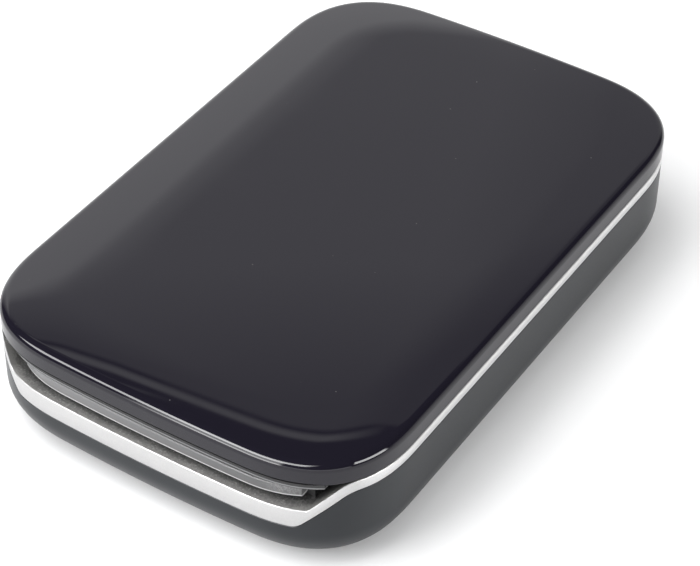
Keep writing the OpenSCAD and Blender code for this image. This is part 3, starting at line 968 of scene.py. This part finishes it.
@dataclass
class TopCover:
    """The gloss cover: a shallow cup with a rounded rim and a barely crowned top."""

    plan: Plan
    base_z: float = 18.6
    top_z: float = 23.0
    ceiling_z: float = 21.7
    ceiling_r: float = 0.75
    wall: float = 1.3
    edge_r: float = 1.5
    lip: float = 0.3
    lip_mid: float = 0.3
    crown: float = 0.18
    crown_reach: float = 10.5
    crown_power: float = 2.5
    support: float = 0.03
    ceiling_steps: int = 6
    edge_steps: int = 18
    crown_steps: int = 28

    def inner_rings(self) -> list[Ring]:
        """Rings from the ceiling down to the lower edge.

        Returns:
            The rings.
        """
        rings: list[Ring] = []
        for k in range(self.ceiling_steps + 1):
            a = math.pi / 2 * k / self.ceiling_steps
            inset = self.wall + self.ceiling_r * (1 - math.sin(a))
            rings.append(self.plan.ring(inset, self.ceiling_z - self.ceiling_r * (1 - math.cos(a))))
        mid = self.lip * self.lip_mid
        for inset, lift in ((self.wall, self.lip), (self.wall - self.lip, 0.0), (self.lip, 0.0), (mid, mid)):
            rings.append(self.plan.ring(inset, self.base_z + lift))
        return rings

    def outer_rings(self) -> list[Ring]:
        """Rings up the wall, round its top and over the crown.

        The wall has a ring close to each of its ends, so that it shades flat.

        Returns:
            The rings.
        """
        shoulder = self.top_z - self.crown
        lean = math.atan(self.crown_power * self.crown / self.crown_reach)
        turn = math.pi / 2 - lean
        foot, wall_top = self.base_z + self.lip, shoulder - self.edge_r * math.cos(lean)
        rings = [self.plan.ring(0, z) for z in (foot, foot + self.support, wall_top - self.support)]
        for k in range(self.edge_steps + 1):
            a = turn * k / self.edge_steps
            drop = self.edge_r * (math.sin(turn) - math.sin(a))
            rings.append(self.plan.ring(self.edge_r * (1 - math.cos(a)), shoulder - drop))
        for k in range(1, self.crown_steps + 1):
            t = k / self.crown_steps
            inset = self.edge_r * (1 - math.sin(lean)) + self.crown_reach * t
            rings.append(self.plan.ring(inset, shoulder + self.crown * (1 - (1 - t) ** self.crown_power)))
        return rings

    def dress(self) -> list[Object]:
        """Builds and paints the cover.

        Returns:
            Its pieces.
        """
        shell = loft("cover_shell", self.inner_rings() + self.outer_rings())
        shell.data.materials.append(Finish.GLOSS_BLACK.material())
        auto_smooth(shell, 50)
        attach(shell, "cover")
        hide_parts("top_cover")
        return [shell]


@dataclass
class TrimBand:
    """The bright band round the housing, with the ledge and ramps behind its dip."""

    plan: Plan
    edges: BandEdges = BandEdges()
    wall: float = 1.6
    rounding: float = 0.14
    ledge_inset: float = 0.8
    ledge_t: float = 1.0
    ledge_drop: float = 0.01
    ledge_min: float = 0.3
    ledge_back: float = -50.1
    ramp_back: float = -47.5
    ramp_end: float = 32.7
    ledge_steps: int = 110

    def band(self) -> Object:
        """Builds the band.

        Returns:
            The band, whose second material slot is for its top and inner faces.
        """
        r = self.rounding
        mid = r * 0.3
        low, high = self.edges.low, self.edges.high
        profile = [(self.wall, low, 0.0), (r, low, 0.0), (mid, low, mid), (0.0, low, r)]
        profile += [(0.0, high, -r), (mid, high, -mid), (r, high, 0.0), (self.wall, high, 0.0)]
        top_strips = (len(profile) - 2, len(profile) - 1)
        rings = [self.plan.ring(inset, lambda p: edge(p) + lift) for inset, edge, lift in profile]
        band = loft("trim_shell", rings, closed=True)
        auto_smooth(band, 50)
        for index, face in enumerate(band.data.polygons):
            face.material_index = 1 if index // len(rings[0]) in top_strips else 0
        return band

    def ledge(self) -> Object:
        """Builds the ledge with the ramps at its sides.

        Returns:
            The ledge.
        """
        rings: list[Ring] = []
        for k in range(self.ledge_steps + 1):
            x = self.ramp_end * (2 * k / self.ledge_steps - 1)
            front = -self.plan.end_y(x, self.ledge_inset)
            edge = self.ledge_back if abs(x) < self.edges.chin_half else self.ramp_back
            back = max(edge, front + self.ledge_min)
            top = self.edges.high((x, -1.0)) - self.ledge_drop
            low = top - self.ledge_t
            profile = ((front, low), (back, low), (back, top), (front, top))
            rings.append([Vector((x, y, z)) for y, z in profile])
        ledge = loft("trim_ledge", rings)
        auto_smooth(ledge, 30)
        return ledge

    def dress(self) -> list[Object]:
        """Builds and paints the band and its ledge.

        Returns:
            Its pieces.
        """
        band, ledge = self.band(), self.ledge()
        band.data.materials.append(Finish.SATIN_SILVER.material())
        for piece in (band, ledge):
            piece.data.materials.append(Finish.LEDGE_SILVER.material())
            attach(piece, "base")
            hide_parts("trim_band")
        return [band, ledge]


@dataclass
class LowerCase:
    """The lower shell, with its deep bottom rounding, screw bosses and rear openings."""

    plan: Plan
    edges: BandEdges = BandEdges()
    wall: float = 1.6
    lip: float = 0.12
    bottom_r: float = 7.6
    bottom_steps: int = 14
    cutter_y: Edge = (52.0, 60.0)
    # Middle across, middle height, width and height of each slot
    slots: tuple[tuple[float, float, float, float], ...] = ((0.0, 10.9, 8.3, 3.4), (16.0, 11.2, 8.6, 3.0))
    slot_r: float = 0.5
    light: Point = (8.0, 11.2)
    light_r: float = 0.82
    round_steps: int = 32
    boss_x: float = 31.0
    boss_r: float = 2.2
    boss_foot: float = 1.4
    boss_chamfer: float = 0.15
    # Place along and top of each pair of bosses
    bosses: tuple[Point, ...] = ((-4.0, 12.3), (34.0, 12.3), (18.0, 8.6), (40.0, 8.6))

    def bend(self, inset: float, radius: float, share: float) -> Ring:
        """A ring on the bottom rounding.

        Args:
            inset: How far the wall is moved in.
            radius: Radius of the rounding there.
            share: 0 at the wall and 1 at the floor.

        Returns:
            The ring.
        """
        a = math.pi / 2 * share
        return self.plan.ring(inset + radius * (1 - math.cos(a)), self.bottom_r - radius * math.sin(a))

    def shell(self) -> Object:
        """Builds the shell with its rear openings.

        Returns:
            The shell.
        """
        shares = [k / self.bottom_steps for k in range(self.bottom_steps + 1)]
        rings = [self.bend(0.0, self.bottom_r, 1 - share) for share in shares]
        for inset, drop in ((0.0, self.lip), (self.lip, 0.0), (self.wall, 0.0)):
            rings.append(self.plan.ring(inset, lambda point: self.edges.low(point) - drop))
        rings += [self.bend(self.wall, self.bottom_r - self.wall, share) for share in shares]
        shell = loft("case_shell", rings)
        for x, z, w, h in self.slots:
            self.pierce(shell, rounded_box((x - w / 2, x + w / 2), (z - h / 2, z + h / 2), self.slot_r))
        self.pierce(shell, arc(self.light, self.light_r, 0, 360, self.round_steps)[:-1])
        auto_smooth(shell, 40)
        return shell

    def pierce(self, shell: Object, outline: Sequence[Point]) -> None:
        """Cuts an opening through the rear wall."""
        rings = [[Vector((x, y, z)) for x, z in outline] for y in self.cutter_y]
        cut(shell, loft("cutter", rings))

    def boss_posts(self) -> Object:
        """Builds the screw bosses that stand on the floor.

        Returns:
            The bosses, as one piece.
        """
        verts: list[Vector] = []
        faces: list[Sequence[int]] = []
        for y, top in self.bosses:
            levels = (
                (self.boss_foot, self.boss_r),
                (top - self.boss_chamfer, self.boss_r),
                (top, self.boss_r - self.boss_chamfer),
            )
            for side in (-1, 1):
                start = len(verts)
                for z, r in levels:
                    turn = arc((side * self.boss_x, y), r, 0, 360, self.round_steps)[:-1]
                    verts += [Vector((*point, z)) for point in turn]
                faces += skin(len(levels), self.round_steps, start)
                faces.append(tuple(range(len(verts) - self.round_steps, len(verts))))
        posts = mesh_object("case_bosses", verts, faces)
        auto_smooth(posts, 40)
        return posts

    def dress(self) -> list[Object]:
        """Builds and paints the shell and its bosses.

        Returns:
            Its pieces.
        """
        pieces = [self.shell(), self.boss_posts()]
        for piece in pieces:
            piece.data.materials.append(Finish.SATIN_BLACK.material())
            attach(piece, "base")
            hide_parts("lower_case")
        return pieces


@dataclass
class ExitBar:
    """The curved bar over the paper exit, which curls back a little at its ends."""

    plan: Plan
    inset: float = 1.4
    thickness: float = 1.6
    half: float = 26.8
    low: float = 13.8
    high: float = 15.9
    rounding: float = 0.3
    curl: float = 0.009
    steps: int = 78

    def face_y(self, across: float) -> float:
        """Where the bar's front face stands.

        Args:
            across: Distance from the centre line.

        Returns:
            Its place along the housing.
        """
        past = max(0.0, abs(across) - self.plan.half_w + self.plan.corner_r)
        return self.curl * past**2 - self.plan.end_y(across, self.inset)

    def build(self) -> Object:
        """Builds the bar.

        Returns:
            The bar.
        """
        profile = rounded_box((0.0, self.thickness), (self.low, self.high), self.rounding)
        places = [self.half * (2 * k / self.steps - 1) for k in range(self.steps + 1)]
        rings = [[Vector((x, self.face_y(x) + u, z)) for u, z in profile] for x in places]
        return loft("exit_strip", rings)

    def dress(self) -> list[Object]:
        """Builds and paints the bar.

        Returns:
            Its pieces.
        """
        bar = self.build()
        bar.data.materials.append(Finish.EXIT_GREY.material())
        auto_smooth(bar, 35)
        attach(bar, "base")
        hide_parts("exit_bar")
        return [bar]


INNER_PARTS: dict[Finish, tuple[str, ...]] = {
    Finish.FRAME_BLACK: ("chassis",),
    Finish.LIP_BLACK: ("cover_frame",),
    Finish.STEEL: (
        *("pressure_plate", "plate_springs", "platen_shaft", "pickup_shaft", "motor_shaft", "motor"),
        *("gear_plate", "gear_posts", "head_pivot", "head_springs", "chassis_screws", "board_screws"),
    ),
    Finish.TIN: ("processor_shield", "radio_shield", "usb_port"),
    Finish.ALUMINIUM: ("head_sink",),
    Finish.BRONZE: ("roller_bushes",),
    Finish.PINION_BRASS: ("motor_pinion",),
    Finish.ROLLER_RUBBER: ("platen_rubber", "pickup_rubber"),
    Finish.GEAR_NYLON: ("platen_gear", "pickup_gear", "idler_gear_front", "idler_gear_rear", "drive_gear"),
    Finish.CERAMIC: ("print_head",),
    Finish.BOARD_GREEN: ("main_board",),
    Finish.BATTERY_WRAP: ("battery",),
    Finish.LEAD_RED: ("battery_leads",),
    Finish.SOCKET_CREAM: ("ribbon_socket",),
    Finish.RIBBON_AMBER: ("head_ribbon",),
    Finish.CLEAR_PIPE: ("charge_light",),
    Finish.SATIN_BLACK: ("power_button", "power_switch", "sheet_sensor"),
}


@dataclass
class InnerParts:
    """The parts that keep their CAD shape: each gets a finish and softened edges."""

    bevel: float = 0.08
    bevel_segments: int = 2
    bevel_angle: float = 40.0
    weld: float = 0.002

    def dress(self, frame: dict) -> int:
        """Paints the nodes and softens their edges.

        Args:
            frame: The loaded frame.

        Returns:
            How many nodes were dressed.
        """
        pairs = [(finish, name) for finish, names in INNER_PARTS.items() for name in names]
        for finish, name in pairs:
            node = frame["nodes"][name]
            if not node.material_slots:
                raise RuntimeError(f"{name} has no material slot")
            for slot in node.material_slots:
                slot.link = "OBJECT"
                slot.material = finish.material()
            weld = node.modifiers.new("weld", "WELD")
            weld.merge_threshold = self.weld * MM
            soften = node.modifiers.new("soften", "BEVEL")
            soften.width = self.bevel * MM
            soften.segments = self.bevel_segments
            soften.limit_method = "ANGLE"
            soften.angle_limit = math.radians(self.bevel_angle)
        return len(pairs)


# Studio and camera


@dataclass
class Surround:
    """The room that reflections show, as brightness by direction: x right, y back and z up.

    The numbers in the methods are the places of soft edges between those directions.
    """

    x: Sock
    y: Sock
    z: Sock
    dark: float = 0.02
    gain: float = 1.24
    screen_tone: float = 0.66
    left_tone: float = 0.72
    upper_loss: float = 0.48
    right_loss: float = 0.26
    main_tone: float = 0.72
    faint_tone: float = 0.4
    lamp_tone: float = 11.0
    low_tone: float = 5.0
    wide_tone: float = 4.5
    apron_tone: float = 2.2
    side_tone: float = 1.3

    def raised(self) -> Sock:
        """Height, less what the screen's upper edge climbs towards the right."""
        return self.z - self.x.ramp(-0.476, -0.376) * 0.0185

    def front(self) -> Sock:
        """1 for directions in front of the object."""
        return self.y.fall(-0.42, -0.36)

    def screen(self) -> Sock:
        """The wide grey screen behind, brighter at its left and darker near its top.

        Returns:
            Its brightness.
        """
        x, y, z = self.x, self.y, self.z
        left = (0.445 - x - z * 0.76).ramp(0.440, 0.468) * z.fall(0.641, 0.657) * self.left_tone
        upper = 1 - z.ramp(0.650, 0.695) * self.upper_loss
        right = 1 - x.ramp(-0.38, -0.33) * self.right_loss
        past = x.ramp(-0.36, -0.30) * y.ramp(0.595, 0.65)
        extent = (self.raised() - past * 0.05).fall(0.700, 0.705) * (x - past * 0.4).fall(-0.28, -0.12)
        return (left + self.screen_tone) * upper * right * extent * y.ramp(0.1, 0.4)

    def streaks(self) -> Sock:
        """Two thin lines of light above the screen.

        Returns:
            Their brightness.
        """
        x, y, z = self.x, self.y, self.z
        main = self.raised().band((0.7055, 0.711), (0.715, 0.719)) * self.main_tone
        faint = z.band((0.7262, 0.7280), (0.7305, 0.7322)) * x.fall(-0.475, -0.445) * self.faint_tone
        return (main + faint) * y.ramp(0.1, 0.3) * x.fall(-0.37, -0.32)

    def front_lamps(self) -> Sock:
        """The lamps in front: one overhead, and a low and a wide one that overlap.

        Returns:
            Their brightness.
        """
        x, z = self.x, self.z
        overhead = (z - x * 0.19).band((0.60, 0.61), (0.82, 0.83)) * x.fall(0.2, 0.3) * self.lamp_tone
        pair = z.fall(0.23, 0.25) * self.low_tone + z.fall(0.7, 0.72) * self.wide_tone
        span = x.band((-0.48, -0.42), (-0.04, 0.02)) * z.ramp(0.02, 0.04)
        return self.front() * (overhead + span * pair)

    def corner_lamp(self) -> Sock:
        """The slanted lamp at the right, which the near corner of the cover shows.

        Returns:
            Its brightness.
        """
        x, y, z = self.x, self.y, self.z
        height = (z + y * 0.3).band((0.22, 0.24), (0.56, 0.58))
        width = (y - z * 0.4 + 0.29).ramp(-0.16, -0.14) * y.fall(0.24, 0.3)
        return height * width * x.ramp(0.42, 0.44) * self.lamp_tone

    def brightness(self) -> Sock:
        """All that reflections show, with the apron below and the room at the right.

        Returns:
            The brightness by direction.
        """
        x, y, z = self.x, self.y, self.z
        lamps = self.front_lamps() + self.corner_lamp()
        apron = self.front() * (z + x.fall(-0.56, -0.46) * 0.16).fall(0.17, 0.20) * self.apron_tone
        side = x.ramp(0.4, 0.5) * y.ramp(0.2, 0.4) * z.fall(0.0, 0.3) * self.side_tone
        return (self.screen() + self.streaks() + lamps) * self.gain + apron + side + self.dark


@dataclass
class Studio:
    """Pale floor, a soft surround and large soft lamps."""

    floor_size: float = 6.0
    floor_tone: float = 0.90
    floor_tint: Colour = (0.985, 0.99, 1.0)
    floor_lift: float = 0.095
    ambient: float = 0.64
    # Name, place and side in metres, and power in watts of each lamp
    lamps: tuple[tuple[str, tuple[float, float, float], float, float], ...] = (
        ("key", (-0.22, -0.22, 0.92), 0.55, 4.6),
        ("fill", (-0.42, -0.62, 0.50), 0.6, 5.0),
        ("bounce", (0.55, -0.3, 0.35), 0.5, 0.9),
    )

    def world(self) -> None:
        """Makes the surround: white to the camera, even for diffuse light, shaped for reflections."""
        world = bpy.data.worlds.new("surround")
        bpy.context.scene.world = world
        world.use_nodes = True
        sh = Nodes(world.node_tree)
        x, y, z = sh.axes(sh.node("TexCoord", output="Generated"))
        reflected = Surround(x, y, z).brightness()
        glossy = sh.node("LightPath", output="Is Glossy Ray")
        camera = sh.node("LightPath", output="Is Camera Ray")
        light = self.ambient + glossy * (reflected - self.ambient)
        inputs = {"Color": (1.0, 1.0, 1.0), "Strength": light + camera * (1 - light)}
        sh.add("OutputWorld", None, {"Surface": sh.node("Background", None, inputs)})

    def floor(self) -> None:
        """Lays the floor."""
        half = self.floor_size / 2 / MM
        corners = [Vector((a * half, b * half, 0)) for a, b in ((-1, -1), (1, -1), (1, 1), (-1, 1))]
        floor = mesh_object("floor", corners, [(0, 1, 2, 3)])
        sh = Shader("floor_paint")
        colour = sh.blend(sh.noise(0.25), (self.floor_tone,) * 3, toned(self.floor_tint, self.floor_tone))
        lift = sh.node("LightPath", output="Is Camera Ray") * self.floor_lift
        sh.finish(
            Base_Color=colour,
            Roughness=0.9,
            Specular_IOR_Level=0.0,
            Emission_Color=sh.node("CombineColor", None, {0: lift, 1: lift, 2: lift}),
            Emission_Strength=1.0,
        )
        floor.data.materials.append(sh.material)

    def lamp(self, name: str, place: Vector, size: float, power: float) -> None:
        """Hangs one square soft lamp aimed at the object and left out of reflections.

        Args:
            name: Its name.
            place: Where it hangs, in metres.
            size: Its side.
            power: Its power in watts.
        """
        light = bpy.data.lights.new(name, "AREA")
        light.size = size
        light.energy = power
        lamp = bpy.data.objects.new(name, light)
        lamp.location = place
        lamp.rotation_euler = (-place).to_track_quat("-Z", "Y").to_euler()
        lamp.visible_glossy = False
        bpy.context.scene.collection.objects.link(lamp)

    def build(self) -> None:
        """Sets up the surround, the floor and the lamps."""
        bpy.context.scene.view_settings.view_transform = "Standard"
        self.world()
        self.floor()
        for name, place, size, power in self.lamps:
            self.lamp(name, Vector(place), size, power)


@dataclass
class Viewpoint:
    """The camera, with the view angles of the studio set-up."""

    azimuth: float = 32.558
    elevation: float = 40.984
    distance: float = 0.39970
    roll: float = 0.588
    lens: float = 120.27
    sensor: float = 36.0
    clip_start: float = 0.01
    target: tuple[float, float, float] = (0.00408, -0.005172, 0.011)

    def build(self) -> None:
        """Makes the camera and gives it to the scene."""
        az, el, turn = (math.radians(v) for v in (self.azimuth, self.elevation, self.roll))
        back = Vector((math.sin(az) * math.cos(el), -math.cos(az) * math.cos(el), math.sin(el)))
        right = Vector((0, 0, 1)).cross(back).normalized()
        up = back.cross(right)
        across = right * math.cos(turn) + up * math.sin(turn)
        upward = up * math.cos(turn) - right * math.sin(turn)
        data = bpy.data.cameras.new("camera")
        data.sensor_fit = "HORIZONTAL"
        data.sensor_width = self.sensor
        data.lens = self.lens
        data.clip_start = self.clip_start
        camera = bpy.data.objects.new("camera", data)
        rotation = Matrix((across, upward, back)).transposed().to_4x4()
        camera.matrix_world = Matrix.Translation(Vector(self.target) + back * self.distance) @ rotation
        bpy.context.scene.collection.objects.link(camera)
        bpy.context.scene.camera = camera


def main() -> None:
    """Builds the scene in order and reports each piece."""
    logging.basicConfig(level=logging.INFO, format="%(name)s: %(message)s")
    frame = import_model()
    plan = Plan()
    for part in (TopCover(plan), TrimBand(plan), LowerCase(plan), ExitBar(plan)):
        for piece in part.dress():
            LOG.info("%s: %d faces", piece.name, len(piece.data.polygons))
    LOG.info("%d parts keep their own shape", InnerParts().dress(frame))
    Studio().build()
    Viewpoint().build()
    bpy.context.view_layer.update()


if __name__ == "__main__":
    main()
